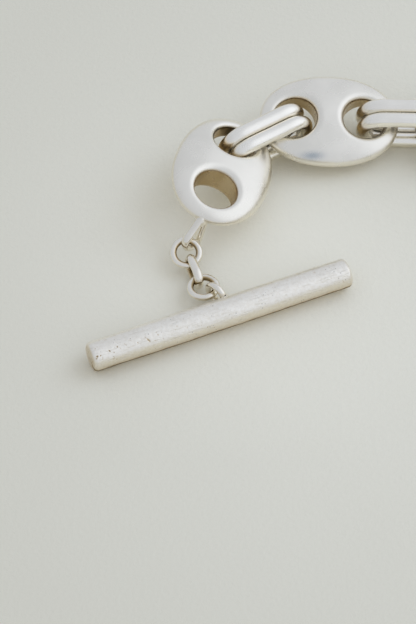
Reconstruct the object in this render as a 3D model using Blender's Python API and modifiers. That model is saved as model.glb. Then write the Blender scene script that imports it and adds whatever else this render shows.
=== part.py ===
"""A silver link bracelet with a toggle clasp, lying unclasped on a flat surface.

Domed oval links with two round holes are joined by pairs of round-wire rings. The first link
carries the toggle bar on a small cable chain, and the free hole of the last link takes the bar
when the bracelet is closed.
Metres, +Z up. The surface is at Z = 0 and the origin is the middle of the bracelet's footprint.
"""

from collections import namedtuple
from math import asin, atan2, cos, pi, radians, sin, sqrt

import bpy
from mathutils import Matrix, Vector

MM = 0.001

# Domed links, from the metal round their holes
HOLE_ROOM = 0.9 * MM
LINK_BRIDGE = 3.8 * MM
LINK_END_RIM = 2.1 * MM
LINK_SIDE_RIM = 4.0 * MM
LINK_THICKNESS = 4.9 * MM
LIP_RADIUS = 0.7 * MM
OUTLINE_POWER = 2.15
DOME_POWER = 2.2

# Paired rings between the links
RING_WIRE = 2.0 * MM
RING_SLACK = 6.3 * MM
RIM_PLAY = 0.73 * MM
RING_GAP = 0.2 * MM

# Small cable chain
CHAIN_WIRE = 0.95 * MM
CHAIN_GAP = 0.23 * MM
CHAIN_RING_LENGTH = 4.85 * MM
CHAIN_RING_WIDTH = 4.6 * MM
CHAIN_LINK_LENGTH = 5.7 * MM
CHAIN_LINK_PLAY = 0.27 * MM
SOLDERED_LOOP_REACH = 4.82 * MM
SOLDERED_LOOP_INSET = 0.85 * MM

# Toggle bar and its eye
BAR_LENGTH = 38.0 * MM
BAR_DIAMETER = 4.1 * MM
BAR_EDGE = 0.6 * MM
BAR_SWELL = 0.06 * MM
EYE_ALONG_BAR = 2.5 * MM
EYE_PLAY = 0.2 * MM
SOLDER_DEPTH = 0.25 * MM

# Facets
LINK_RAYS_TO_RIM = 6
LINK_RAYS_TO_MIDDLE = 4
LINK_DOME_STEPS = 4
RING_ARC_STEPS = 6
SMALL_ARC_STEPS = 5
WIRE_SIDES_LARGE = 2
WIRE_SIDES_SMALL = 1
BAR_SIDES = 24

# Sizes that follow from the ones above
HOLE_RADIUS = RING_WIRE + RING_GAP / 2 + HOLE_ROOM
HOLE_OFFSET = LINK_BRIDGE / 2 + HOLE_RADIUS
LINK_LENGTH = 2 * (HOLE_OFFSET + HOLE_RADIUS + LINK_END_RIM)
LINK_WIDTH = 2 * (HOLE_RADIUS + LINK_SIDE_RIM)
RING_LENGTH = 2 * (RING_WIRE + LINK_END_RIM) + RING_SLACK
PAIR_PITCH = RING_WIRE + RING_GAP
HOOK = CHAIN_WIRE + CHAIN_GAP
CHAIN_LINK_HEIGHT = 3 * CHAIN_WIRE + 2 * (CHAIN_GAP + CHAIN_LINK_PLAY)
EYE_RADIUS = HOOK / 2 + CHAIN_GAP / 2 + EYE_PLAY + CHAIN_WIRE / 2

# How the bracelet lies: headings are seen from above, anticlockwise from +X, in degrees.
# A link's roll lifts its left side. The first and last link's pitch lowers the end that is farther along.
# A pair's lean tips it to the right, and its slack is the share of its play that is pushed together.
# Its near and far sides say how far it has slid to the left in its first and its second hole, from -1 to 1.
Lay = namedtuple("Lay", "name heading roll")
Pair = namedtuple("Pair", "name heading lean slack near_side far_side")
LINKS = (
    Lay("end_link", 74.3, 17.5),
    Lay("link_2", 1.0, 17.5),
    Lay("link_3", -5.0, 12.0),
    Lay("link_4", -34.0, 7.0),
    Lay("link_5", -78.0, 4.0),
    Lay("link_6", -126.0, 2.0),
    Lay("clasp_link", -170.0, 2.0),
)
PAIRS = (
    Pair("ring_1", 32.0, 13.5, 0.8, -0.5, -0.3),
    Pair("ring_2", -1.5, 14.0, 0.5, 0.0, 0.0),
    Pair("ring_3", -18.0, 9.0, 0.5, 0.0, 0.0),
    Pair("ring_4", -55.0, 5.0, 0.5, 0.0, 0.0),
    Pair("ring_5", -102.0, 3.0, 0.5, 0.0, 0.0),
    Pair("ring_6", -149.0, 2.0, 0.5, 0.0, 0.0),
)
# The end link's free end is tipped up, and the link hangs a little low in its pair.
END_LINK_PITCH = 5.2
END_LINK_DROP = 0.1 * MM
CLASP_LINK_PITCH = 7.0

# The small chain's few chosen headings, from the end link to the bar.
# A flat ring is entered at one heading and left at another, as it turns between its neighbours.
Hook = namedtuple("Hook", "enter heading leave")
SOLDERED_LOOP_HEADING = 226.5
SOLDERED_LOOP_DIP = 49.3
CHAIN_RING_1 = Hook(-107.6, -87.7, -60.8)
LONG_LINK_HEADING = -71.3
CHAIN_RING_2 = Hook(-52.0, -32.0, -14.0)
BAR_HEADING = 22.8
EYE_LEAN = 25.0

for old in list(bpy.data.objects):
    bpy.data.objects.remove(old, do_unlink=True)
scene = bpy.context.scene
bracelet = bpy.data.collections.new("link_bracelet")
helpers = bpy.data.collections.new("solder_joins")
scene.collection.children.link(bracelet)
scene.collection.children.link(helpers)

# One empty carries every piece, so that the finished bracelet can be centred on the origin
lay_frame = bpy.data.objects.new("lay_frame", None)
bracelet.objects.link(lay_frame)


def silver(name, roughness):
    """A plain silver metal."""
    material = bpy.data.materials.new(name)
    material.use_nodes = True
    shader = material.node_tree.nodes["Principled BSDF"]
    shader.inputs["Base Color"].default_value = (0.83, 0.81, 0.77, 1.0)
    shader.inputs["Metallic"].default_value = 1.0
    shader.inputs["Roughness"].default_value = roughness
    return material


def place(piece, matrix, material):
    """Puts a piece of the bracelet at its place on the surface, with its own material."""
    bracelet.objects.link(piece)
    piece.data.materials.append(material)
    piece.parent = lay_frame
    piece.matrix_local = matrix
    return piece


def turned(place_at, heading, pitch=0.0, roll=0.0):
    """A frame at a point: +X along the heading, dipping by pitch, its left side lifted by roll, in radians."""
    turn = Matrix.Rotation(heading, 4, "Z") @ Matrix.Rotation(pitch, 4, "Y") @ Matrix.Rotation(roll, 4, "X")
    return Matrix.Translation(place_at) @ turn


def direction(heading):
    return Vector((cos(heading), sin(heading), 0.0))


def smooth(mesh, sharpest=radians(50)):
    mesh.shade_smooth()
    mesh.set_sharp_from_angle(angle=sharpest)


# Domed link


def outline_reach(x, y):
    """0 at the link's middle and 1 on its outline, a rounded oval."""
    along = abs(2 * x / LINK_LENGTH) ** OUTLINE_POWER
    across = abs(2 * y / LINK_WIDTH) ** OUTLINE_POWER
    return (along + across) ** (1 / OUTLINE_POWER)


def dome_height(x, y):
    """Height of the domed face over the link's middle plane."""
    return LINK_THICKNESS / 2 * sqrt(max(0.0, 1 - outline_reach(x, y) ** DOME_POWER))


def ray_length(angle):
    """From the hole's centre to the outline, or to the plane across the link's middle if that is nearer."""
    near, far = HOLE_RADIUS, LINK_LENGTH
    for _ in range(50):
        middle = (near + far) / 2
        if outline_reach(HOLE_OFFSET + middle * cos(angle), middle * sin(angle)) < 1:
            near = middle
        else:
            far = middle
    if cos(angle) < 0:
        return min(near, -HOLE_OFFSET / cos(angle))
    return near


def link_column(angle):
    """Points from the foot of the hole's wall, over its lip and the dome, to the outline or the middle."""

    def at(distance, height):
        return Vector((HOLE_OFFSET + distance * cos(angle), distance * sin(angle), height))

    lip_end = HOLE_RADIUS + LIP_RADIUS
    lip_top = dome_height(*at(lip_end, 0.0).xy)
    end = ray_length(angle)
    points = [at(HOLE_RADIUS, 0.0), at(HOLE_RADIUS, lip_top - LIP_RADIUS)]
    for turn in (pi / 4, pi / 2):
        points.append(at(HOLE_RADIUS + LIP_RADIUS * (1 - cos(turn)), lip_top - LIP_RADIUS * (1 - sin(turn))))
    for step in range(1, LINK_DOME_STEPS + 1):
        distance = lip_end + (end - lip_end) * sin(pi / 2 * step / LINK_DOME_STEPS)
        points.append(at(distance, dome_height(*at(distance, 0.0).xy)))
    return points


def domed_link_mesh():
    """One eighth of a link, lofted along rays from its hole: the hole's round wall meets an oval outline."""
    corner = pi - atan2(LINK_WIDTH / 2, HOLE_OFFSET)
    angles = [corner * ray / LINK_RAYS_TO_RIM for ray in range(LINK_RAYS_TO_RIM)]
    # These rays end on the plane across the middle, closer together where the dome falls off at the outline
    for ray in range(LINK_RAYS_TO_MIDDLE + 1):
        across = LINK_WIDTH / 2 * cos(pi / 2 * ray / LINK_RAYS_TO_MIDDLE)
        angles.append(pi - atan2(across, HOLE_OFFSET))
    columns = [link_column(angle) for angle in angles]
    for point in columns[0] + columns[-1]:
        point.y = 0.0
    for column in columns[: LINK_RAYS_TO_RIM + 1]:
        column[-1].z = 0.0
    for column in columns[LINK_RAYS_TO_RIM:]:
        column[-1].x = 0.0
    rows = len(columns[0])
    points = [point for column in columns for point in column]
    faces = []
    for ray in range(len(columns) - 1):
        for row in range(rows - 1):
            inner = ray * rows + row
            faces.append((inner, inner + 1, inner + rows + 1, inner + rows))
    mesh = bpy.data.meshes.new("domed_link")
    mesh.from_pydata(points, [], faces)
    smooth(mesh)
    return mesh


def domed_link(name, matrix, mesh):
    link = bpy.data.objects.new(name, mesh.copy())
    place(link, matrix, silver(name + "_silver", 0.32))
    mirror = link.modifiers.new("eighth_to_whole", "MIRROR")
    mirror.use_axis = (True, True, True)
    mirror.merge_threshold = 0.01 * MM
    return link


# Wire rings


def wire_curve(name, points, wire, sides, cyclic=True):
    """A round wire along points, as a curve."""
    curve = bpy.data.curves.new(name, "CURVE")
    curve.dimensions = "3D"
    curve.bevel_depth = wire / 2
    curve.bevel_resolution = sides
    curve.use_fill_caps = not cyclic
    spline = curve.splines.new("POLY")
    spline.points.add(len(points) - 1)
    for spot, point in zip(spline.points, points):
        spot.co = (*point, 1.0)
    spline.use_cyclic_u = cyclic
    return bpy.data.objects.new(name, curve)


def loop_points(near_radius, far_radius, near_x, far_x, steps, upright=True):
    """Two half circles, centred at near_x and far_x, joined by straight sides; upright ones stand in XZ."""
    points = []
    for centre, radius, start in ((far_x, far_radius, -pi / 2), (near_x, near_radius, pi / 2)):
        for step in range(steps + 1):
            angle = start + pi * step / steps
            side = radius * sin(angle)
            points.append((centre + radius * cos(angle), 0.0, side) if upright else
                          (centre + radius * cos(angle), side, 0.0))
    return points


def oval_points(length, width, steps, upright=True):
    """The centre line of an oval ring, with its middle at 0."""
    return loop_points(width / 2, width / 2, -(length - width) / 2, (length - width) / 2, steps, upright)


def wire_ring(name, points, wire, sides, matrix, roughness=0.25):
    return place(wire_curve(name, points, wire, sides), matrix, silver(name + "_silver", roughness))


def solder_on(piece, curve, matrix):
    """Joins a wire to a piece as one solid: the wire is made a mesh and united with it."""
    helpers.objects.link(curve)
    curve.parent = lay_frame
    curve.matrix_local = matrix
    bpy.context.view_layer.update()
    evaluated = curve.evaluated_get(bpy.context.evaluated_depsgraph_get())
    wire = bpy.data.objects.new(curve.name + "_solid", bpy.data.meshes.new_from_object(evaluated))
    helpers.objects.link(wire)
    wire.parent = lay_frame
    wire.matrix_local = matrix
    wire.hide_render = True
    wire.display_type = "WIRE"
    bpy.data.objects.remove(curve)
    join = piece.modifiers.new("solder", "BOOLEAN")
    join.operation = "UNION"
    join.solver = "EXACT"
    join.object = wire


# Where the links and the ring pairs lie

rim_half = max(
    dome_height(HOLE_OFFSET + HOLE_RADIUS + LIP_RADIUS, 0.0),
    dome_height(HOLE_OFFSET + HOLE_RADIUS + LINK_END_RIM / 2, 0.0),
)
RING_HEIGHT = 2 * (RING_WIRE + rim_half + RIM_PLAY)
# How far a pair's ends can sit off the middle of a hole, before either wire comes too near its wall
seat_reach = HOLE_RADIUS - RING_WIRE / 2 - RING_GAP
pair_play = sqrt(seat_reach**2 - (PAIR_PITCH / 2) ** 2)
side_play = seat_reach - PAIR_PITCH / 2


def pair_height(lean):
    """Height of a pair's middle when it leans, standing on its lower wires."""
    tilt = radians(lean)
    return (RING_HEIGHT - RING_WIRE) / 2 * cos(tilt) + PAIR_PITCH / 2 * sin(tilt) + RING_WIRE / 2


def rim_lift(turn, outward):
    """How far a link's hole sits over its pair's middle, with the rim inside the pair level with it."""
    face = turn.col[2].xyz
    return face.dot(outward) / face.z * (HOLE_RADIUS + LINK_END_RIM / 2)


def link_turn(index):
    """The turn of a link and the height of its near hole's middle, or of its far one's on the first link."""
    link = LINKS[index]
    before = PAIRS[index - 1] if index > 0 else None
    after = PAIRS[index] if index < len(PAIRS) else None
    pitch = radians(END_LINK_PITCH if before is None else CLASP_LINK_PITCH if after is None else 0.0)
    for _ in range(4):
        turn = turned((0.0, 0.0, 0.0), radians(link.heading), pitch, radians(link.roll))
        heights = [pair_height(pair.lean) + rim_lift(turn, direction(radians(pair.heading)) * way)
                   for pair, way in ((before, -1), (after, 1)) if pair]
        if before and after:
            pitch = asin((heights[0] - heights[1]) / hole_to_hole)
    drop = END_LINK_DROP if before is None else 0.0
    return turn, heights[0] - drop


link_mesh = domed_link_mesh()
hole_to_hole = 2 * HOLE_OFFSET
hole = Vector((0.0, 0.0, 0.0))
frames = {}
for index, link in enumerate(LINKS):
    turn, hole.z = link_turn(index)
    along = turn.col[0].xyz * HOLE_OFFSET
    centre = hole + along if index > 0 else hole - along
    frames[link.name] = Matrix.Translation(centre) @ turn
    if index == len(PAIRS):
        break
    pair = PAIRS[index]
    ahead = direction(radians(pair.heading))
    leaving = centre + along
    seat = pair_play * (2 * pair.slack - 1)
    middle = leaving + ahead * ((RING_LENGTH - RING_WIRE) / 2 - seat)
    middle += Vector((-ahead.y, ahead.x, 0.0)) * side_play * (pair.near_side + pair.far_side) / 2
    middle.z = pair_height(pair.lean)
    twist = side_play * (pair.far_side - pair.near_side) / (RING_LENGTH - RING_WIRE)
    frames[pair.name] = turned(middle, radians(pair.heading) + twist, 0.0, radians(pair.lean))
    hole = leaving + ahead * (RING_LENGTH - RING_WIRE - 2 * seat)

for link in LINKS:
    domed_link(link.name, frames[link.name], link_mesh)
ring_line = oval_points(RING_LENGTH - RING_WIRE, RING_HEIGHT - RING_WIRE, RING_ARC_STEPS)
for pair in PAIRS:
    for which, side in (("far", PAIR_PITCH / 2), ("near", -PAIR_PITCH / 2)):
        beside = Matrix.Translation((0.0, side, 0.0))
        name = pair.name + "_" + which
        wire_ring(name, ring_line, RING_WIRE, WIRE_SIDES_LARGE, frames[pair.name] @ beside)

# Small chain: a loop soldered to the end link's rim, a flat ring, an upright link and a second flat ring.
# Its upright links stand on the surface, and two hooked wires cross at the distance HOOK.

standing = CHAIN_LINK_HEIGHT / 2
end_link = bpy.data.objects["end_link"]
rim_local = Vector((SOLDERED_LOOP_INSET - LINK_LENGTH / 2, 0.0, 0.0))
loop_radius = (CHAIN_LINK_HEIGHT - CHAIN_WIRE) / 2
loop_root = CHAIN_WIRE * 0.6
loop_end = SOLDERED_LOOP_INSET + SOLDERED_LOOP_REACH - CHAIN_WIRE / 2
rim_point = frames["end_link"] @ rim_local
loop_frame = turned(rim_point, radians(SOLDERED_LOOP_HEADING), radians(SOLDERED_LOOP_DIP))
solder_on(
    end_link,
    wire_curve(
        "soldered_loop",
        loop_points(loop_root, loop_radius, 0.0, loop_end - loop_radius, SMALL_ARC_STEPS),
        CHAIN_WIRE,
        WIRE_SIDES_SMALL,
    ),
    loop_frame,
)


def crossing(first, second, outward):
    """The step between two hooked wires, square to both of their directions."""
    step = first.cross(second).normalized()
    if step.dot(outward) < 0:
        step.negate()
    return step * HOOK


def flat_ring(name, hook, upright, hooked_at, end_height):
    """A flat ring hooked round the end of an upright link, with its other end at the height asked for.

    Returns the point where the wire of the next upright link, which stands straight up, passes through it.
    """
    length = CHAIN_RING_LENGTH - CHAIN_WIRE
    width = CHAIN_RING_WIDTH - CHAIN_WIRE

    def wire_spot(swing, side):
        """A point of the wire at one end of the ring, and the ways out of the ring and along the wire."""
        out = Vector((cos(swing), sin(swing), 0.0))
        spot = Vector((side * (length - width) / 2, 0.0, 0.0)) + out * side * width / 2
        return spot, out, Vector((-out.y, out.x, 0.0))

    near, near_out, near_along = wire_spot(radians(hook.enter - hook.heading), -1)
    far, far_out, far_along = wire_spot(radians(hook.leave - hook.heading), 1)
    dip = 0.0
    for _ in range(8):
        level = turned((0.0, 0.0, 0.0), radians(hook.heading), dip)
        entered = hooked_at - crossing(upright, level @ near_along, level @ near_out)
        frame = Matrix.Translation(entered - level @ near) @ level
        dip += ((frame @ far).z - end_height) / length
    wire_ring(name, oval_points(length, width, SMALL_ARC_STEPS, False), CHAIN_WIRE, WIRE_SIDES_SMALL, frame)
    return frame @ far - crossing(level @ far_along, Vector((0.0, 0.0, 1.0)), level @ far_out)


loop_tip = loop_frame @ Vector((loop_end, 0.0, 0.0))
hooked = flat_ring("chain_ring_1", CHAIN_RING_1, loop_frame.col[2].xyz, loop_tip, standing)
link_span = CHAIN_LINK_LENGTH - CHAIN_WIRE
link_frame = turned(hooked, radians(LONG_LINK_HEADING)) @ Matrix.Translation((link_span / 2, 0.0, 0.0))
wire_ring(
    "chain_long_link",
    oval_points(link_span, CHAIN_LINK_HEIGHT - CHAIN_WIRE, SMALL_ARC_STEPS),
    CHAIN_WIRE,
    WIRE_SIDES_SMALL,
    link_frame,
)
bar_height = BAR_DIAMETER / 2 + BAR_SWELL
link_tip = link_frame @ Vector((link_span / 2, 0.0, 0.0))
hooked = flat_ring("chain_ring_2", CHAIN_RING_2, link_frame.col[2].xyz, link_tip, bar_height)

# Toggle bar: a turned rod that swells a little at its middle, with its eye soldered on


def bar_profile():
    """Down the rod's outer side, from the middle of one flat end to the middle of the other."""
    radius = BAR_DIAMETER / 2
    half = BAR_LENGTH / 2
    upper = [Vector((0.0, 0.0, half))]
    for step in range(4):
        turn = pi / 2 * step / 3
        upper.append(Vector((radius - BAR_EDGE * (1 - sin(turn)), 0.0, half - BAR_EDGE * (1 - cos(turn)))))
    upper.append(Vector((radius + BAR_SWELL * 0.75, 0.0, half / 2)))
    lower = [Vector((point.x, 0.0, -point.z)) for point in reversed(upper)]
    return upper + [Vector((radius + BAR_SWELL, 0.0, 0.0))] + lower


profile = bar_profile()
bar_mesh = bpy.data.meshes.new("toggle_bar")
bar_mesh.from_pydata(profile, [(spot, spot + 1) for spot in range(len(profile) - 1)], [])
toggle_bar = bpy.data.objects.new("toggle_bar", bar_mesh)
eye_heading = radians(BAR_HEADING + 90 + EYE_LEAN)
bar_surface = (BAR_DIAMETER / 2 + BAR_SWELL - SOLDER_DEPTH) / cos(radians(EYE_LEAN))
eye_centre = bar_surface + CHAIN_WIRE / 2 + EYE_RADIUS
# The eye's outer wire stands where the last flat ring is hooked
bar_middle = hooked - direction(eye_heading) * (eye_centre + EYE_RADIUS)
bar_middle -= direction(radians(BAR_HEADING)) * EYE_ALONG_BAR
bar_middle.z = bar_height
bar_frame = turned(bar_middle, radians(BAR_HEADING)) @ Matrix.Rotation(pi / 2, 4, "Y")
place(toggle_bar, bar_frame, silver("toggle_bar_silver", 0.38))
spin = toggle_bar.modifiers.new("turned_rod", "SCREW")
spin.axis = "Z"
spin.angle = 2 * pi
spin.steps = BAR_SIDES
spin.render_steps = BAR_SIDES
spin.use_merge_vertices = True
spin.merge_threshold = 0.01 * MM
eye_frame = turned(bar_middle + direction(radians(BAR_HEADING)) * EYE_ALONG_BAR, eye_heading)
solder_on(
    toggle_bar,
    wire_curve(
        "bar_eye",
        loop_points(EYE_RADIUS, EYE_RADIUS, eye_centre, eye_centre, SMALL_ARC_STEPS + 1),
        CHAIN_WIRE,
        WIRE_SIDES_SMALL,
    ),
    eye_frame,
)

# Centre the footprint on the origin, with the lowest point on the surface

bpy.context.view_layer.update()
graph = bpy.context.evaluated_depsgraph_get()
low = Vector((1.0, 1.0, 1.0))
high = -low
for piece in bracelet.objects:
    if piece.type == "EMPTY":
        continue
    shape = piece.evaluated_get(graph)
    mesh = shape.to_mesh()
    for vertex in mesh.vertices:
        spot = shape.matrix_world @ vertex.co
        low = Vector(map(min, low, spot))
        high = Vector(map(max, high, spot))
    shape.to_mesh_clear()
lay_frame.location = (-(low.x + high.x) / 2, -(low.y + high.y) / 2, -low.z)
bpy.context.view_layer.update()
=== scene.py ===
"""A silver toggle bracelet lying open on a pale table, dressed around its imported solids.

Metres, +Z up. Each link, ring and bar is rebuilt as a smooth, hand-finished piece where its solid lies:
a symmetric piece's place is read from its solid, and the two soldered pieces are placed from the lay below.
"""

from collections import namedtuple
from itertools import product
from math import atan2, cos, pi, radians, sin

import bpy
import numpy as np
from mathutils import Matrix, Vector, noise


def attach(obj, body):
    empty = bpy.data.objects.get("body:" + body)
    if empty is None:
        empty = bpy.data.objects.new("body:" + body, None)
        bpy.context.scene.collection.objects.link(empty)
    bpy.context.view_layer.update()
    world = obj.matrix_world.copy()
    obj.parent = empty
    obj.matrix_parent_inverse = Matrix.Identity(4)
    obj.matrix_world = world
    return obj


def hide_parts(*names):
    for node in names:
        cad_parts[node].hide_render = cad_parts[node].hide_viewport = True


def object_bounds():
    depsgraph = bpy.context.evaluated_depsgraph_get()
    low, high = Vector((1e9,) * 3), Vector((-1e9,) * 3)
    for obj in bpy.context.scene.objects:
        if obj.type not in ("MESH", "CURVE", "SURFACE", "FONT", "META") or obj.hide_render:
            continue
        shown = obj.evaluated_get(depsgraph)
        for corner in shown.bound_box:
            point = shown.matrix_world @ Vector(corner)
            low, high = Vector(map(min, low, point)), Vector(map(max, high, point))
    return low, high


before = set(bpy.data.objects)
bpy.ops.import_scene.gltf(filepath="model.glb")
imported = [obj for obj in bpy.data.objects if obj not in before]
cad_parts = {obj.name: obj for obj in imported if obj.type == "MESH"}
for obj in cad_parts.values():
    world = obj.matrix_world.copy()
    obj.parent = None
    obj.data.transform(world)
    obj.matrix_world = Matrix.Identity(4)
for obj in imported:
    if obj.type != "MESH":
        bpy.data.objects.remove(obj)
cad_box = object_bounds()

MM = 0.001
SAME_POINT = 1e-7

# The domed links' shape, as in the solids, with the soft lip of a hand-polished hole
HOLE_RADIUS = 3.0 * MM
HOLE_OFFSET = 4.9 * MM
LIP_RADIUS = 1.05 * MM
OUTLINE_POWER = 2.15
DOME_POWER = 2.2
HALVINGS = 60

# Where the two pieces with soldered loops lie
END_LINK_AT = Vector((-29.758, 18.593, 5.685)) * MM
END_LINK_HEADING = 74.3
END_LINK_PITCH = 5.2
END_LINK_ROLL = 17.5
LOOP_INSET = 0.85 * MM
LOOP_REACH = 5.195 * MM
LOOP_ROOT_RADIUS = 0.57 * MM
LOOP_ROOT_SHIFT = 0.75 * MM
LOOP_RADIUS = 1.45 * MM
LOOP_HEADING = 226.5
LOOP_DIP = 49.3
CHAIN_WIRE = 0.95 * MM
BAR_AT = Vector((-30.054, -3.925, 2.110)) * MM
BAR_HEADING = 22.8
BAR_LENGTH = 38.0 * MM
BAR_RADIUS = 2.05 * MM
BAR_SWELL = 0.06 * MM
BAR_EDGE = 0.6 * MM
EYE_ALONG_BAR = 2.5 * MM
EYE_LEAN = 25.0
EYE_CENTRE = 3.907 * MM
EYE_RADIUS = 1.38 * MM

# The photograph's view
VIEW_TARGET = Vector((-31.768, -1.890, 0.0)) * MM
VIEW_ELEVATION = 52.6
VIEW_DISTANCE = 315.07 * MM
VIEW_LENS = 132.69

LINKS = ("end_link", "link_2", "link_3", "link_4", "link_5", "link_6", "clasp_link")
PAIRS = ("ring_1", "ring_2", "ring_3", "ring_4", "ring_5", "ring_6")


def turned(place_at, heading, pitch=0.0, roll=0.0):
    """A frame at a point: +X along the heading, dipping by pitch, left side lifted by roll, in degrees."""
    turn = (Matrix.Rotation(radians(heading), 4, "Z") @ Matrix.Rotation(radians(pitch), 4, "Y")
            @ Matrix.Rotation(radians(roll), 4, "X"))
    return Matrix.Translation(place_at) @ turn


def own_frame(node, upright):
    """The middle and the axes of a symmetric solid, from its surface, and its size along them.

    +X is its length. An upright ring's height is +Z, and a flat piece's thickness is.
    """
    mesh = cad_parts[node].data
    mesh.calc_loop_triangles()
    points = np.empty(len(mesh.vertices) * 3)
    mesh.vertices.foreach_get("co", points)
    points = points.reshape(-1, 3)
    corners = np.empty(len(mesh.loop_triangles) * 3, np.int32)
    mesh.loop_triangles.foreach_get("vertices", corners)
    corners = points[corners.reshape(-1, 3)]
    area = np.linalg.norm(np.cross(corners[:, 1] - corners[:, 0], corners[:, 2] - corners[:, 0]), axis=1) / 2
    middle = (corners.mean(1) * area[:, None]).sum(0) / area.sum()
    arms = corners - middle
    total = arms.sum(1)
    spread = np.einsum("t,tki,tkj->ij", area, arms, arms)
    spread = (spread + np.einsum("t,ti,tj->ij", area, total, total)) / 12
    axes = np.linalg.eigh(spread)[1][:, ::-1]
    if upright:
        axes = axes[:, [0, 2, 1]]
    if axes[2, 2] < 0:
        axes[:, 2] *= -1
    if axes[np.abs(axes[:, 0]).argmax(), 0] < 0:
        axes[:, 0] *= -1
    if np.linalg.det(axes) < 0:
        axes[:, 1] *= -1
    local = (points - middle) @ axes
    matrix = Matrix.Identity(4)
    for row in range(3):
        for column in range(3):
            matrix[row][column] = axes[row, column]
        matrix[row][3] = middle[row]
    return matrix, local.max(0) - local.min(0)


# Meshes, as points and quads


def weld(points, faces, step=1e-8):
    """Joins points that coincide, and turns the faces outwards."""
    _, first, index = np.unique(np.round(points / step).astype(np.int64), axis=0, return_index=True,
                                return_inverse=True)
    points = points[first]
    faces = index.reshape(-1)[faces]
    fan = points[faces]
    volume = 0.0
    for a, b, c in ((0, 1, 2), (0, 2, 3)):
        volume += np.einsum("ij,ij->i", fan[:, a], np.cross(fan[:, b], fan[:, c])).sum()
    return points, faces if volume > 0 else faces[:, ::-1]


def grid_faces(rows, columns, wrap_rows=False, wrap_columns=False):
    """Quads of a grid of points, numbered row by row."""
    row = np.arange(rows if wrap_rows else rows - 1)[:, None]
    column = np.arange(columns if wrap_columns else columns - 1)[None, :]
    below = (row + 1) % rows
    beside = (column + 1) % columns
    quads = np.stack([row * columns + column, row * columns + beside, below * columns + beside,
                      below * columns + column], axis=-1)
    return quads.reshape(-1, 4)


def link_shape(length, width, thickness, rim_rays=44, middle_rays=26, wall_rows=6, face_rows=34):
    """A domed oval link with two round holes, from one eighth of it."""

    def reach(x, y):
        lengthwise = np.abs(2 * x / length) ** OUTLINE_POWER
        crosswise = np.abs(2 * y / width) ** OUTLINE_POWER
        return (lengthwise + crosswise) ** (1 / OUTLINE_POWER)

    def dome(x, y):
        return thickness / 2 * np.sqrt(np.maximum(0.0, 1 - reach(x, y) ** DOME_POWER))

    corner = pi - atan2(width / 2, HOLE_OFFSET)
    across = width / 2 * np.cos(pi / 2 * np.arange(middle_rays + 1) / middle_rays)
    angle = np.concatenate([corner * np.arange(rim_rays) / rim_rays, pi - np.arctan2(across, HOLE_OFFSET)])
    # Halving finds where each ray from the hole's middle meets the outline
    near = np.full(len(angle), HOLE_RADIUS)
    far = np.full(len(angle), length)
    for _ in range(HALVINGS):
        middle = (near + far) / 2
        inside = reach(HOLE_OFFSET + middle * np.cos(angle), middle * np.sin(angle)) < 1
        near = np.where(inside, middle, near)
        far = np.where(inside, far, middle)
    end = near.copy()
    end[rim_rays:] = HOLE_OFFSET / -np.cos(angle[rim_rays:])
    steps = (1 - np.cos(pi * np.arange(face_rows + 1) / face_rows)) / 2
    distance = HOLE_RADIUS + (end - HOLE_RADIUS)[:, None] * steps
    x = HOLE_OFFSET + distance * np.cos(angle)[:, None]
    y = distance * np.sin(angle)[:, None]
    into_lip = np.clip(1 - (distance - HOLE_RADIUS) / LIP_RADIUS, 0, 1)
    z = dome(x, y) - LIP_RADIUS * (1 - np.sqrt(1 - into_lip**2))
    z[: rim_rays + 1, -1] = 0.0
    x[rim_rays:, -1] = 0.0
    wall = np.arange(wall_rows)[None, :] / wall_rows * z[:, :1]
    x = np.concatenate([np.repeat(x[:, :1], wall_rows, 1), x], 1)
    y = np.concatenate([np.repeat(y[:, :1], wall_rows, 1), y], 1)
    y[0] = 0.0
    y[-1] = 0.0
    z = np.concatenate([wall, z], 1)
    eighth = np.stack([x, y, z], -1).reshape(-1, 3)
    quads = grid_faces(len(angle), wall_rows + face_rows + 1)
    points = []
    faces = []
    for signs in product((1, -1), repeat=3):
        faces.append((quads if np.prod(signs) > 0 else quads[:, ::-1]) + len(points) * len(eighth))
        points.append(eighth * signs)
    return weld(np.concatenate(points), np.concatenate(faces))


def wire_shape(path, wire, sides=28, breadth=1.0):
    """A wire along a closed path that lies in the XZ plane, round or broader across the plane."""
    ahead = np.roll(path, -1, 0) - np.roll(path, 1, 0)
    ahead /= np.linalg.norm(ahead, axis=1)[:, None]
    outward = np.stack([ahead[:, 2], np.zeros(len(path)), -ahead[:, 0]], 1)
    turn = 2 * pi * np.arange(sides) / sides
    ring = outward[:, None] * np.cos(turn)[None, :, None]
    ring = ring + np.array([0, breadth, 0]) * np.sin(turn)[None, :, None]
    points = (path[:, None] + ring * wire / 2).reshape(-1, 3)
    return weld(points, grid_faces(len(path), sides, True, True))


def loop_path(near_radius, far_radius, near_x, far_x, arc_steps=30, side_steps=16, softening=2):
    """Two half circles joined by straight sides, in the XZ plane, with the corners between them softened."""
    near = (near_x, near_radius)
    far = (far_x, far_radius)
    points = []
    for (centre, radius), (next_centre, next_radius), side in ((far, near, 1), (near, far, -1)):
        for step in range(arc_steps + 1):
            angle = pi * step / arc_steps - side * pi / 2
            points.append((centre + radius * cos(angle), 0.0, radius * sin(angle)))
        last = np.array(points[-1])
        goal = np.array((next_centre, 0.0, side * next_radius))
        if np.linalg.norm(goal - last) > SAME_POINT:
            for step in range(1, side_steps):
                points.append(tuple(last + (goal - last) * step / side_steps))
    path = np.array(points)
    path = path[np.linalg.norm(path - np.roll(path, 1, 0), axis=1) > SAME_POINT]
    for _ in range(softening):
        path = (np.roll(path, 1, 0) + 2 * path + np.roll(path, -1, 0)) / 4
    return path


def oval_path(length, width):
    """The centre line of an oval ring, with its middle at 0, in the XZ plane."""
    return loop_path(width / 2, width / 2, -(length - width) / 2, (length - width) / 2)


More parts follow.
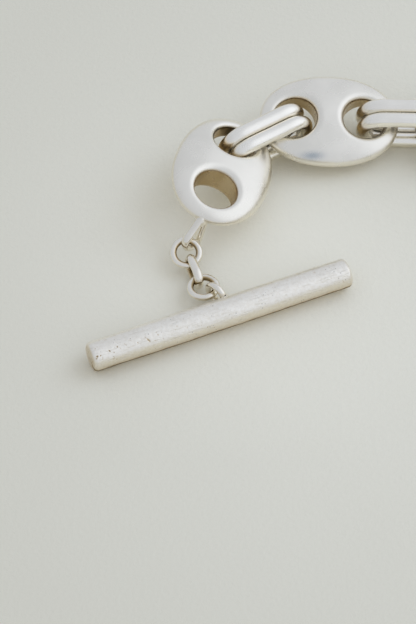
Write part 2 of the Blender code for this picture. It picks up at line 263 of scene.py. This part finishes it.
def blob_shape(radii, rings=20, sides=32):
    """A smooth drop of solder with these half sizes."""
    tilt = pi * np.arange(rings + 1) / rings
    turn = 2 * pi * np.arange(sides) / sides
    x = np.sin(tilt)[:, None] * np.cos(turn)
    y = np.sin(tilt)[:, None] * np.sin(turn)
    z = np.repeat(np.cos(tilt)[:, None], sides, 1)
    points = np.stack([x, y, z], -1).reshape(-1, 3) * radii
    return weld(points, grid_faces(rings + 1, sides, False, True))


def hand_finish(points, faces, lumps, seed):
    """Pushes points in and out a little, as on hand-filed and polished metal.

    Lumps are pairs of height and size.
    """
    mesh = bpy.data.meshes.new("finish")
    mesh.from_pydata(points.tolist(), [], faces.tolist())
    normals = np.empty(len(points) * 3)
    mesh.vertex_normals.foreach_get("vector", normals)
    bpy.data.meshes.remove(mesh)
    push = np.zeros(len(points))
    for height, size in lumps:
        offset = Vector((seed * 7.31, seed * 3.17, seed * 5.77))
        push += [height * noise.noise(Vector(point) / size + offset) for point in points.tolist()]
    return points + normals.reshape(-1, 3) * push[:, None]


def make_piece(name, points, faces, matrix, material, slot, *nodes, marks=None, painted_reflection=None):
    """A smooth piece at its place, riding with the bracelet and standing for its solids.

    The materials read its own coordinates, its tarnish, dirt and painted shade, and its painted grey
    reflection from three attributes.
    """
    place = np.array(matrix)
    mesh = bpy.data.meshes.new(name)
    mesh.from_pydata((points @ place[:3, :3].T + place[:3, 3]).tolist(), [], faces.tolist())
    mesh.validate()
    mesh.shade_smooth()
    own = mesh.attributes.new("own_place", "FLOAT_VECTOR", "POINT")
    own.data.foreach_set("vector", points.astype(np.float32).ravel())
    for attribute, values in (("marks", marks), ("painted_reflection", painted_reflection)):
        values = np.zeros(len(points)) if values is None else values
        mesh.attributes.new(attribute, "FLOAT", "POINT").data.foreach_set("value", values.astype(np.float32))
    mesh.materials.append(material)
    piece = bpy.data.objects.new(name, mesh)
    bpy.context.scene.collection.objects.link(piece)
    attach(piece, "root")
    if nodes:
        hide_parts(*nodes)


# Materials


class Nodes:
    """Adds nodes to a node tree and links their sockets."""

    def __init__(self, tree):
        self.tree = tree

    def add(self, kind, inputs=(), **settings):
        node = self.tree.nodes.new(kind)
        for name, value in settings.items():
            setattr(node, name, value)
        for name, value in dict(inputs).items():
            self.put(node, name, value)
        return node

    def put(self, node, name, value):
        socket = node.inputs[name]
        if isinstance(value, bpy.types.NodeSocket):
            self.tree.links.new(value, socket)
        else:
            socket.default_value = value

    def math(self, operation, first, second, clamp=False):
        return self.add("ShaderNodeMath", {0: first, 1: second}, operation=operation,
                        use_clamp=clamp).outputs[0]

    def distance(self, place, point):
        return self.add("ShaderNodeVectorMath", {0: place, 1: point}, operation="DISTANCE").outputs["Value"]

    def spread(self, value, low, high, to_low=0.0, to_high=1.0):
        """The value's range from low to high, taken to another range and held within it."""
        limits = {"From Min": low, "From Max": high, "To Min": to_low, "To Max": to_high}
        return self.add("ShaderNodeMapRange", {"Value": value, **limits}, clamp=True).outputs[0]

    def noise(self, vector, scale, detail=3.0, roughness=0.5):
        return self.add("ShaderNodeTexNoise", {"Vector": vector, "Scale": scale, "Detail": detail,
                                               "Roughness": roughness}).outputs["Fac"]

    def mapped(self, vector, scale, rotation=(0.0, 0.0, 0.0), location=(0.0, 0.0, 0.0)):
        return self.add("ShaderNodeMapping", {"Vector": vector, "Scale": scale, "Rotation": rotation,
                                              "Location": location}).outputs[0]

    def mix(self, factor, first, second):
        mixer = self.add("ShaderNodeMix", data_type="RGBA")
        self.put(mixer, 0, factor)
        self.put(mixer, 6, first)
        self.put(mixer, 7, second)
        return mixer.outputs[2]


CLEAN_DULL = (0.882, 0.842, 0.742, 1.0)
CLEAN_BRIGHT = (0.952, 0.908, 0.805, 1.0)
# A whiter copy of the silver, painted light that brightens the highlights of the rings and the bar
LIT_SILVER_DULL = (0.950, 0.908, 0.810, 1.0)
LIT_SILVER_BRIGHT = (0.995, 0.955, 0.860, 1.0)
# Warm tarnish and dark dirt colours, which also carry painted shade
TARNISH_AND_SHADE = (0.50, 0.36, 0.17, 1.0)
DIRT_AND_SHADE = (0.08, 0.062, 0.040, 1.0)
# The colour of a painted grey reflection on the second link
PAINTED_GREY_REFLECTION = (0.50, 0.53, 0.53, 1.0)


def silver(name, roughness, seed, scratches=0.35, speckle=0.0, mottle=0.3, relief=0.03, grain=0.0,
           dull=CLEAN_DULL, bright=CLEAN_BRIGHT):
    """Hand-finished silver: varied satin, fine scratches, specks, and warm tarnish, dark dirt and painted
    shade where the marks say.

    Relief is the height of its unevenness in mm, and grain is how strongly a fine darker grain shows.
    """
    material = bpy.data.materials.new(name)
    material.use_nodes = True
    tree = material.node_tree
    n = Nodes(tree)
    shader = tree.nodes["Principled BSDF"]
    place = n.add("ShaderNodeAttribute", attribute_name="own_place").outputs["Vector"]
    place = n.mapped(place, (1.0, 1.0, 1.0), location=(seed * 0.013, seed * 0.007, seed * 0.011))
    marks = n.add("ShaderNodeAttribute", attribute_name="marks").outputs["Fac"]
    cloudy = n.noise(place, 260.0, 4.0)
    pebbled = n.noise(place, 2600.0, 2.0, 0.6)
    fine = n.noise(place, 7000.0, 2.0, 0.6)
    # Sparse hairline scratches at three headings
    hairs = None
    for turn, (heading, tilt) in enumerate(((35.0, 12.0), (-42.0, -18.0), (78.0, 35.0))):
        rotation = (0.0, radians(tilt), radians(heading))
        stretched = n.mapped(place, (420.0, 5200.0, 5200.0), rotation, (0.3 * turn + seed, 0.0, 0.0))
        lines = n.spread(n.noise(stretched, 1.0, 1.0, 0.4), 0.66, 0.74)
        hairs = lines if hairs is None else n.math("MAXIMUM", hairs, lines)
    # Small pits in some patches
    cells = n.add("ShaderNodeTexVoronoi", {"Vector": place, "Scale": 1900.0, "Randomness": 1.0})
    pits = n.spread(cells.outputs["Distance"], 0.19, 0.09)
    pits = n.math("MULTIPLY", pits, n.spread(n.noise(place, 520.0, 2.0), 0.5, 0.6))
    specks = n.math("MULTIPLY", pits, speckle)
    # Marks up to a half are a warm film of tarnish, and over it dark dirt; some of these marks are painted
    # shade
    tarnish_and_shade = n.math("MULTIPLY", marks, n.spread(cloudy, 0.25, 0.75, 1.5, 2.0), clamp=True)
    dirt_and_shade = n.spread(marks, 0.5, 1.0)
    dirt_and_shade = n.math("MAXIMUM", dirt_and_shade, n.math("MULTIPLY", specks, 0.7), clamp=True)
    clean = n.mix(n.spread(cloudy, 0.3, 0.7), dull, bright)
    sparkle = n.math("ADD", n.math("MULTIPLY", pebbled, 0.6), n.math("MULTIPLY", fine, 0.4))
    darker = n.math("SUBTRACT", 1.0, n.spread(sparkle, 0.36, 0.64))
    clean = n.mix(n.math("MULTIPLY", darker, grain), clean, TARNISH_AND_SHADE)
    # Over the clean silver lies a painted grey reflection where its attribute says
    reflected = n.mix(n.add("ShaderNodeAttribute", attribute_name="painted_reflection").outputs["Fac"], clean, PAINTED_GREY_REFLECTION)
    n.put(shader, "Base Color", n.mix(dirt_and_shade, n.mix(tarnish_and_shade, reflected, TARNISH_AND_SHADE), DIRT_AND_SHADE))
    shader.inputs["Metallic"].default_value = 1.0
    rough = n.spread(cloudy, 0.25, 0.75, roughness - 0.05, roughness + 0.05)
    rough = n.math("ADD", rough, n.math("MULTIPLY", dirt_and_shade, 0.15))
    rough = n.math("ADD", rough, n.math("MULTIPLY", hairs, 0.08 * scratches), clamp=True)
    n.put(shader, "Roughness", rough)
    height = n.math("ADD", n.math("MULTIPLY", fine, 0.25), n.math("MULTIPLY", pebbled, mottle))
    height = n.math("SUBTRACT", height, n.math("MULTIPLY", hairs, scratches))
    height = n.math("SUBTRACT", height, n.math("MULTIPLY", specks, 1.6))
    bump = n.add("ShaderNodeBump", {"Height": height, "Strength": 0.5, "Distance": relief * MM})
    n.put(shader, "Normal", bump.outputs[0])
    return material


# Links

LINK_LUMPS = ((0.055 * MM, 4.5 * MM), (0.012 * MM, 1.3 * MM))
# The hole walls are darkened partly by real tarnish and partly as painted shade in the deep holes
WALL_TARNISH_AND_SHADE = 0.52
WALL_FADE = 0.2 * LIP_RADIUS
EDGE_TARNISH = 0.05
EDGE_FADE = 1.1 * MM
END_HOLE_PAINTED_SHADE = 0.95
IN_HOLE = 0.3


def link_marks(points):
    """Tarnish and painted shade down the walls of the holes, where no polish reaches, and a trace round the
    outer edge.
    """
    from_hole = np.hypot(np.abs(points[:, 0]) - HOLE_OFFSET, points[:, 1])
    wall = np.clip(1 - (from_hole - HOLE_RADIUS) / WALL_FADE, 0, 1)
    edge = np.clip(1 - np.abs(points[:, 2]) / EDGE_FADE, 0, 1) * (wall == 0)
    return WALL_TARNISH_AND_SHADE * wall + EDGE_TARNISH * edge


def link_grey_reflection(points):
    """A painted grey reflection on the low side of the second link."""
    away = np.hypot((points[:, 0] + 2.6 * MM) / (1.5 * MM), (points[:, 1] + 5.9 * MM) / (0.5 * MM))
    return np.exp(-away**2) * (points[:, 2] > 0)


LINK_SIZE = own_frame("link_3", False)[1]
link_points, link_faces = link_shape(*LINK_SIZE)
link_tarnish_and_shade = link_marks(link_points)
end_link_frame = turned(END_LINK_AT, END_LINK_HEADING, END_LINK_PITCH, END_LINK_ROLL)
for number, node in enumerate(LINKS):
    matrix = end_link_frame if node == "end_link" else own_frame(node, False)[0]
    finished = hand_finish(link_points, link_faces, LINK_LUMPS, number + 1)
    satin = silver(node + "_satin", 0.28, number + 1, scratches=0.06, mottle=0.1)
    painted_reflection = link_grey_reflection(link_points) if node == "link_2" else None
    hole_tarnish_and_shade = link_tarnish_and_shade
    if node == "end_link":
        # Its ring hole is painted black at the end towards the ring, a painted shadow in the gap between the
        # ring and the far wall
        deep = np.clip((link_points[:, 0] - HOLE_OFFSET) / HOLE_RADIUS, 0, 1) * (link_tarnish_and_shade > IN_HOLE)
        hole_tarnish_and_shade = np.maximum(link_tarnish_and_shade, END_HOLE_PAINTED_SHADE * deep)
    make_piece(node + "_metal", finished, link_faces, matrix, satin, "link_silver", node, marks=hole_tarnish_and_shade,
               painted_reflection=painted_reflection)

# Ring pairs, drawn a little thicker than their solids, which keep a small gap

RING_EASE = 0.13 * MM
RING_LUMPS = ((0.03 * MM, 3.0 * MM), (0.01 * MM, 0.9 * MM))
RING_TARNISH = 0.12
for number, pair in enumerate(PAIRS):
    for which in ("far", "near"):
        node = pair + "_" + which
        seed = 20 + number * 2 + len(which)
        matrix, (length, wire, height) = own_frame(node, True)
        # The solid's wire is a polygon, so the round wire has its corners' width
        points, faces = wire_shape(oval_path(length - wire, height - wire), wire + RING_EASE)
        points = hand_finish(points, faces, RING_LUMPS, seed)
        near_end = np.clip((np.abs(points[:, 0]) - length * 0.36) / (length * 0.1), 0, 1)
        polish = silver(node + "_satin", 0.24, seed, scratches=0.3, speckle=0.1, mottle=0.2, dull=LIT_SILVER_DULL,
                        bright=LIT_SILVER_BRIGHT)
        make_piece(node + "_metal", points, faces, matrix, polish, "ring_silver", node,
                   marks=RING_TARNISH * near_end)

# Small chain

CHAIN = (("chain_ring_1", False), ("chain_long_link", True), ("chain_ring_2", False))
WIRE_SIDES = 24
WIRE_LUMPS = ((0.02 * MM, 1.2 * MM),)
SOLDER_LUMPS = ((0.1 * MM, 0.9 * MM),)
LONG_LINK_BREADTH = 1.3
LOOP_BREADTH = 1.25
SOLDERED_TARNISH = 0.04
SEAT_TARNISH = 0.15
for number, (node, upright) in enumerate(CHAIN):
    matrix, size = own_frame(node, upright)
    length, height = size[0], size[2] if upright else size[1]
    breadth = LONG_LINK_BREADTH if upright else 1.0
    path = oval_path(length - CHAIN_WIRE, height - CHAIN_WIRE)
    points, faces = wire_shape(path, CHAIN_WIRE, WIRE_SIDES, breadth)
    points = hand_finish(points, faces, WIRE_LUMPS, 40 + number)
    if not upright:
        points = points[:, [0, 2, 1]] * (1, -1, 1)
    bright = silver(node + "_bright", 0.13, 40 + number, scratches=0.25, speckle=0.1)
    # The inner side of the wire is painted dark, a painted shade inside each ring
    past_bend = np.maximum(np.abs(points[:, 0]) - (length - height) / 2, 0)
    from_axis = np.hypot(past_bend, points[:, 2 if upright else 1])
    inner_shade = np.clip(((height - CHAIN_WIRE) / 2 - 0.1 * MM - from_axis) / (0.3 * MM), 0, 1)
    marks = 0.03 + 0.75 * inner_shade
    make_piece(node + "_metal", points, faces, matrix, bright, "chain_silver", node, marks=marks)

loop_at = end_link_frame @ Vector((LOOP_INSET - LINK_SIZE[0] / 2, 0.0, 0.0))
loop_frame = turned(loop_at, LOOP_HEADING, LOOP_DIP)
loop_line = loop_path(LOOP_ROOT_RADIUS, LOOP_RADIUS, LOOP_ROOT_SHIFT, LOOP_REACH - LOOP_RADIUS)
loop_points, loop_faces = wire_shape(loop_line, CHAIN_WIRE, WIRE_SIDES, LOOP_BREADTH)
loop_points = hand_finish(loop_points, loop_faces, WIRE_LUMPS, 45)
loop_silver = silver("soldered_loop_bright", 0.15, 45, scratches=0.25, speckle=0.1)
make_piece("soldered_loop_metal", loop_points, loop_faces, loop_frame, loop_silver, "link_silver",
           marks=np.full(len(loop_points), SOLDERED_TARNISH))
solder_points, solder_faces = blob_shape((0.85 * MM, 0.7 * MM, 0.9 * MM))
solder_points = hand_finish(solder_points, solder_faces, SOLDER_LUMPS, 46)
solder_frame = loop_frame @ Matrix.Translation((LOOP_ROOT_SHIFT + 0.1 * MM, 0.0, 0.1 * MM))
make_piece("loop_solder", solder_points, solder_faces, solder_frame, loop_silver, "link_silver",
           marks=np.full(len(solder_points), SOLDERED_TARNISH))

# Toggle bar


def bar_shape(along=540, around=152, cap_rings=16, edge_rings=12):
    """The bar along local X: two flat ends, soft edges and a slight swell."""
    half = BAR_LENGTH / 2
    flat = BAR_RADIUS - BAR_EDGE
    rows = [(-half, flat * ring / cap_rings) for ring in range(cap_rings + 1)]
    for step in range(1, edge_rings + 1):
        turn = pi / 2 * step / edge_rings
        rows.append((-half + BAR_EDGE * (1 - cos(turn)), flat + BAR_EDGE * sin(turn)))
    body = np.linspace(-half + BAR_EDGE, half - BAR_EDGE, along)[1:-1]
    swell = BAR_SWELL * (1 - (body / half) ** 2)
    rows += list(zip(body, BAR_RADIUS + swell))
    rows += [(-x, r) for x, r in reversed(rows[: cap_rings + 1 + edge_rings])]
    rows = np.array(rows)
    turn = 2 * pi * np.arange(around) / around
    x = np.repeat(rows[:, :1], around, 1)
    y = rows[:, 1:] * np.cos(turn)
    z = rows[:, 1:] * np.sin(turn)
    points = np.stack([x, y, z], -1).reshape(-1, 3)
    return weld(points, grid_faces(len(rows), around, False, True))


def carve(points, marks, start, end, width, depth, dark):
    """Cuts a nick between two points of the surface, and darkens it."""
    start = np.array(start)
    run = np.array(end) - start
    share = np.clip(((points - start) @ run) / max(run @ run, 1e-12), 0, 1)
    away = np.linalg.norm(points - start - share[:, None] * run, axis=1)
    cut = np.exp(-(away / width) ** 2) * np.sqrt(np.maximum(0.0, 1 - np.abs(2 * share - 1) ** 3))
    outward = points * (0.0, 1.0, 1.0)
    outward /= np.maximum(np.linalg.norm(outward, axis=1), 1e-9)[:, None]
    marks[:] = np.maximum(marks, cut * dark)
    return points - outward * (cut * depth)[:, None]


def on_bar(along_mm, turn):
    """A point of the bar's surface: along it in mm, and round it in degrees from its top to the camera."""
    return (along_mm * MM, -BAR_RADIUS * sin(radians(turn)), BAR_RADIUS * cos(radians(turn)))


# Nicks and pits: where each starts and ends along the bar from its middle in mm and round it in degrees,
# then its half width and depth in mm
Nick = namedtuple("Nick", "along turn to_along to_turn width depth")
NICKS = (
    Nick(-3.22, 6.5, -2.30, 29.2, 0.055, 0.05),
    Nick(-11.44, 23.8, -11.15, 36.0, 0.06, 0.04),
    Nick(-11.20, 33.1, -10.88, 48.8, 0.10, 0.10),
    Nick(-5.50, 40.4, -5.45, 41.5, 0.10, 0.07),
    Nick(-7.11, 35.7, -7.05, 37.0, 0.09, 0.06),
    Nick(-6.80, 22.7, -6.72, 27.0, 0.07, 0.05),
    Nick(-1.77, 74.0, -1.72, 76.0, 0.09, 0.06),
    Nick(-2.74, 64.0, -2.70, 67.0, 0.08, 0.06),
    Nick(-3.50, 50.6, -3.46, 52.0, 0.07, 0.05),
    Nick(-9.65, 30.3, -9.55, 35.0, 0.07, 0.05),
    Nick(-9.75, 21.5, -9.70, 24.0, 0.07, 0.05),
    Nick(-9.09, 51.0, -9.00, 55.0, 0.06, 0.05),
    Nick(-10.23, 48.5, -10.18, 50.0, 0.08, 0.05),
    Nick(-12.59, 34.9, -12.50, 38.0, 0.06, 0.05),
    Nick(-15.40, 24.9, -15.30, 29.0, 0.07, 0.05),
    Nick(-16.61, 29.6, -16.45, 36.0, 0.07, 0.05),
    Nick(-17.92, 37.1, -17.86, 40.0, 0.10, 0.08),
    Nick(-18.39, 34.7, -18.33, 41.0, 0.12, 0.10),
    Nick(-18.30, 7.0, -18.28, 9.0, 0.09, 0.06),
    Nick(-18.55, 43.0, -18.50, 47.0, 0.09, 0.07),
    Nick(-15.88, 73.0, -15.84, 75.0, 0.08, 0.05),
    Nick(-10.38, 82.2, -10.32, 84.0, 0.09, 0.06),
    Nick(-7.53, 39.7, -7.47, 42.0, 0.06, 0.05),
    Nick(-16.05, 42.4, -16.00, 45.0, 0.07, 0.05),
)
FINE_NICKS = 260
FINE_NICKS_REACH = 18.6
BAR_LUMPS = ((0.05 * MM, 5.0 * MM), (0.014 * MM, 1.2 * MM), (0.008 * MM, 0.45 * MM))
# The underside's darkening is partly tarnish and partly painted shade
UNDERSIDE_TARNISH_AND_SHADE = 0.22
# A painted contact shadow along the bar's resting line
REST_PAINTED_SHADOW = 0.9
REST_TURN = 112.0
END_TARNISH = 0.25
END_PITS = ((-0.9, 0.2, 0.22), (-0.75, -0.95, 0.2), (0.5, 0.7, 0.16))
END_PIT_DEPTH = 0.12 * MM

bar_frame = turned(BAR_AT, BAR_HEADING)
bar_points, bar_faces = bar_shape()
bar_points = hand_finish(bar_points, bar_faces, BAR_LUMPS, 60)
bar_marks = np.zeros(len(bar_points))
for nick in NICKS:
    start = on_bar(nick.along, nick.turn)
    bar_points = carve(bar_points, bar_marks, start, on_bar(nick.to_along, nick.to_turn), nick.width * MM,
                       nick.depth * MM, 1.0)
chance = np.random.default_rng(7)
for _ in range(FINE_NICKS):
    along = chance.uniform(-FINE_NICKS_REACH, FINE_NICKS_REACH)
    around = chance.uniform(-180.0, 180.0)
    slant = chance.uniform(0.05, 0.4) * (1 if chance.random() < 0.75 else -1)
    start = on_bar(along, around)
    end = on_bar(along + abs(slant) * 0.8, around + slant * 40.0)
    bar_points = carve(bar_points, bar_marks, start, end, chance.uniform(0.04, 0.06) * MM,
                       chance.uniform(0.01, 0.03) * MM, chance.uniform(0.0, 0.45))
# The underside is darker: partly a film of tarnish, partly painted shade
turn_from_top = np.degrees(np.abs(np.arctan2(bar_points[:, 1], bar_points[:, 2])))
bar_marks = np.maximum(bar_marks, UNDERSIDE_TARNISH_AND_SHADE * np.clip((turn_from_top - 50.0) / 55.0, 0, 1))
# A painted contact shadow along the line where the bar rests on the table
ragged = [noise.noise(Vector((x, 3.0, 0.0)) / (1.3 * MM)) for x in bar_points[:, 0].tolist()]
rest_shadow = np.exp(-((turn_from_top - REST_TURN) / (9.5 + 5.0 * np.array(ragged))) ** 2)
bar_marks = np.maximum(bar_marks, REST_PAINTED_SHADOW * rest_shadow * (bar_points[:, 1] < 0))
# The left end is worn brown, with three deeper pits
cap = np.clip(1 - (bar_points[:, 0] + BAR_LENGTH / 2) / (0.25 * MM), 0, 1)
bar_marks = np.maximum(bar_marks, END_TARNISH * cap)
for across, height, width in END_PITS:
    away = np.hypot(bar_points[:, 1] - across * MM, bar_points[:, 2] - height * MM)
    pit = np.exp(-(away / (width * MM)) ** 2) * cap
    bar_points[:, 0] += pit * END_PIT_DEPTH
    bar_marks = np.maximum(bar_marks, pit * 0.9)
bar_silver = silver("toggle_bar_brushed", 0.34, 60, scratches=1.2, speckle=0.6, mottle=1.1, relief=0.08,
                    grain=0.15, dull=LIT_SILVER_DULL, bright=LIT_SILVER_BRIGHT)
make_piece("toggle_bar_metal", bar_points, bar_faces, bar_frame, bar_silver, "bar_silver", "toggle_bar",
           marks=bar_marks)
eye_frame = turned(bar_frame @ Vector((EYE_ALONG_BAR, 0.0, 0.0)), BAR_HEADING + 90.0 + EYE_LEAN)
eye_path = loop_path(EYE_RADIUS, EYE_RADIUS, EYE_CENTRE, EYE_CENTRE)
eye_points, eye_faces = wire_shape(eye_path, CHAIN_WIRE, WIRE_SIDES)
eye_points = hand_finish(eye_points, eye_faces, WIRE_LUMPS, 61)
eye_silver = silver("bar_eye_bright", 0.15, 61, scratches=0.25, speckle=0.1)
make_piece("bar_eye_metal", eye_points, eye_faces, eye_frame, eye_silver, "bar_silver",
           marks=np.full(len(eye_points), SOLDERED_TARNISH))
seat_points, seat_faces = blob_shape((0.55 * MM, 0.75 * MM, 0.95 * MM))
seat_points = hand_finish(seat_points, seat_faces, SOLDER_LUMPS, 62)
seat_frame = eye_frame @ Matrix.Translation((BAR_RADIUS / cos(radians(EYE_LEAN)), 0.0, 0.0))
make_piece("eye_solder", seat_points, seat_faces, seat_frame, eye_silver, "bar_silver",
           marks=np.full(len(seat_points), SEAT_TARNISH))

# Table: paper with a painted pool of light between the end link and the bar, and a painted falloff of light,
# greyer away from the bracelet's middle

TABLE_HALF = 6.0
# Paper colours: a painted pool of light near the bracelet, and a painted falloff of light far from it
PAINTED_LIGHT_AT = (-0.029, 0.009, 0.0)
PAINTED_LIGHT_POOL = ((0.915, 0.866, 0.710, 1.0), (0.950, 0.901, 0.745, 1.0))
MIDDLE_AT = (0.0, 0.005, 0.0)
NEARBY = ((0.843, 0.798, 0.655, 1.0), (0.883, 0.838, 0.691, 1.0))
PAINTED_FALLOFF = (0.778, 0.736, 0.600, 1.0)


def table_material():
    material = bpy.data.materials.new("pale_table")
    material.use_nodes = True
    tree = material.node_tree
    n = Nodes(tree)
    shader = tree.nodes["Principled BSDF"]
    place = n.add("ShaderNodeTexCoord").outputs["Object"]
    soft = n.noise(place, 28.0, 3.0)
    grain = n.noise(place, 1400.0, 3.0, 0.6)
    tone = n.math("ADD", n.math("MULTIPLY", soft, 0.75), n.math("MULTIPLY", grain, 0.25))
    tone = n.spread(tone, 0.3, 0.7)
    from_painted_light = n.spread(n.distance(place, PAINTED_LIGHT_AT), 0.010, 0.036)
    paper = n.mix(from_painted_light, n.mix(tone, *PAINTED_LIGHT_POOL), n.mix(tone, *NEARBY))
    from_middle = n.spread(n.distance(place, MIDDLE_AT), 0.03, 0.075)
    n.put(shader, "Base Color", n.mix(from_middle, paper, PAINTED_FALLOFF))
    shader.inputs["Roughness"].default_value = 0.75
    shader.inputs["Specular IOR Level"].default_value = 0.2
    bump = n.add("ShaderNodeBump", {"Height": grain, "Strength": 0.4, "Distance": 0.00018})
    n.put(shader, "Normal", bump.outputs[0])
    return material


table_mesh = bpy.data.meshes.new("table")
table_corners = [(x * TABLE_HALF, y * TABLE_HALF, 0.0) for x, y in ((-1, -1), (1, -1), (1, 1), (-1, 1))]
table_mesh.from_pydata(table_corners, [], [(0, 1, 2, 3)])
table_mesh.materials.append(table_material())
table = bpy.data.objects.new("table", table_mesh)
table.location = (0.0, 0.0, cad_box[0].z)
bpy.context.scene.collection.objects.link(table)

# Light: a broad window low on the right, and a weak lamp that only the table shows


def studio_world():
    """A soft cool room with a broad bright window low on the right, a little darker towards the left."""
    world = bpy.data.worlds.new("studio")
    world.use_nodes = True
    tree = world.node_tree
    n = Nodes(tree)
    heading = n.add("ShaderNodeTexCoord").outputs["Generated"]
    window = Vector((0.88, 0.05, 0.47)).normalized()
    towards = n.add("ShaderNodeVectorMath", {0: heading, 1: window}, operation="DOT_PRODUCT").outputs["Value"]
    glow = n.spread(towards, cos(radians(58.0)), cos(radians(15.0)))
    parts = n.add("ShaderNodeSeparateXYZ", {0: heading})
    side = n.spread(parts.outputs["X"], -1.0, 1.0, 0.57, 0.71)
    level = n.math("ADD", side, n.math("MULTIPLY", glow, 0.25))
    tone = n.add("ShaderNodeVectorMath", {0: (1.0, 1.055, 1.18), "Scale": level}, operation="SCALE")
    n.put(tree.nodes["Background"], "Color", tone.outputs["Vector"])
    tree.nodes["Background"].inputs["Strength"].default_value = 1.0
    bpy.context.scene.world = world


def soft_light(name, at, aim, width, power, tint):
    lamp = bpy.data.lights.new(name, "AREA")
    lamp.shape = "SQUARE"
    lamp.size = width
    lamp.energy = power
    lamp.color = tint
    light = bpy.data.objects.new(name, lamp)
    light.location = at
    light.rotation_mode = "QUATERNION"
    light.rotation_quaternion = (Vector(aim) - Vector(at)).to_track_quat("-Z", "Y")
    light.visible_glossy = False
    bpy.context.scene.collection.objects.link(light)


studio_world()
soft_light("key", at=(0.34, 0.15, 0.40), aim=(-0.03, 0.0, 0.0), width=0.40, power=0.38,
           tint=(0.80, 1.0, 1.42))

# Camera

camera = bpy.data.objects.new("camera", bpy.data.cameras.new("camera"))
camera.data.sensor_width = 36.0
camera.data.lens = VIEW_LENS
camera.data.clip_start = 0.01
camera.data.clip_end = 50.0
rise = radians(VIEW_ELEVATION)
camera.location = VIEW_TARGET + Vector((0.0, -cos(rise), sin(rise))) * VIEW_DISTANCE
camera.rotation_mode = "QUATERNION"
camera.rotation_quaternion = (VIEW_TARGET - camera.location).to_track_quat("-Z", "Y")
bpy.context.scene.collection.objects.link(camera)
bpy.context.scene.camera = camera
bpy.context.scene.view_settings.view_transform = "Standard"

bpy.context.view_layer.update()
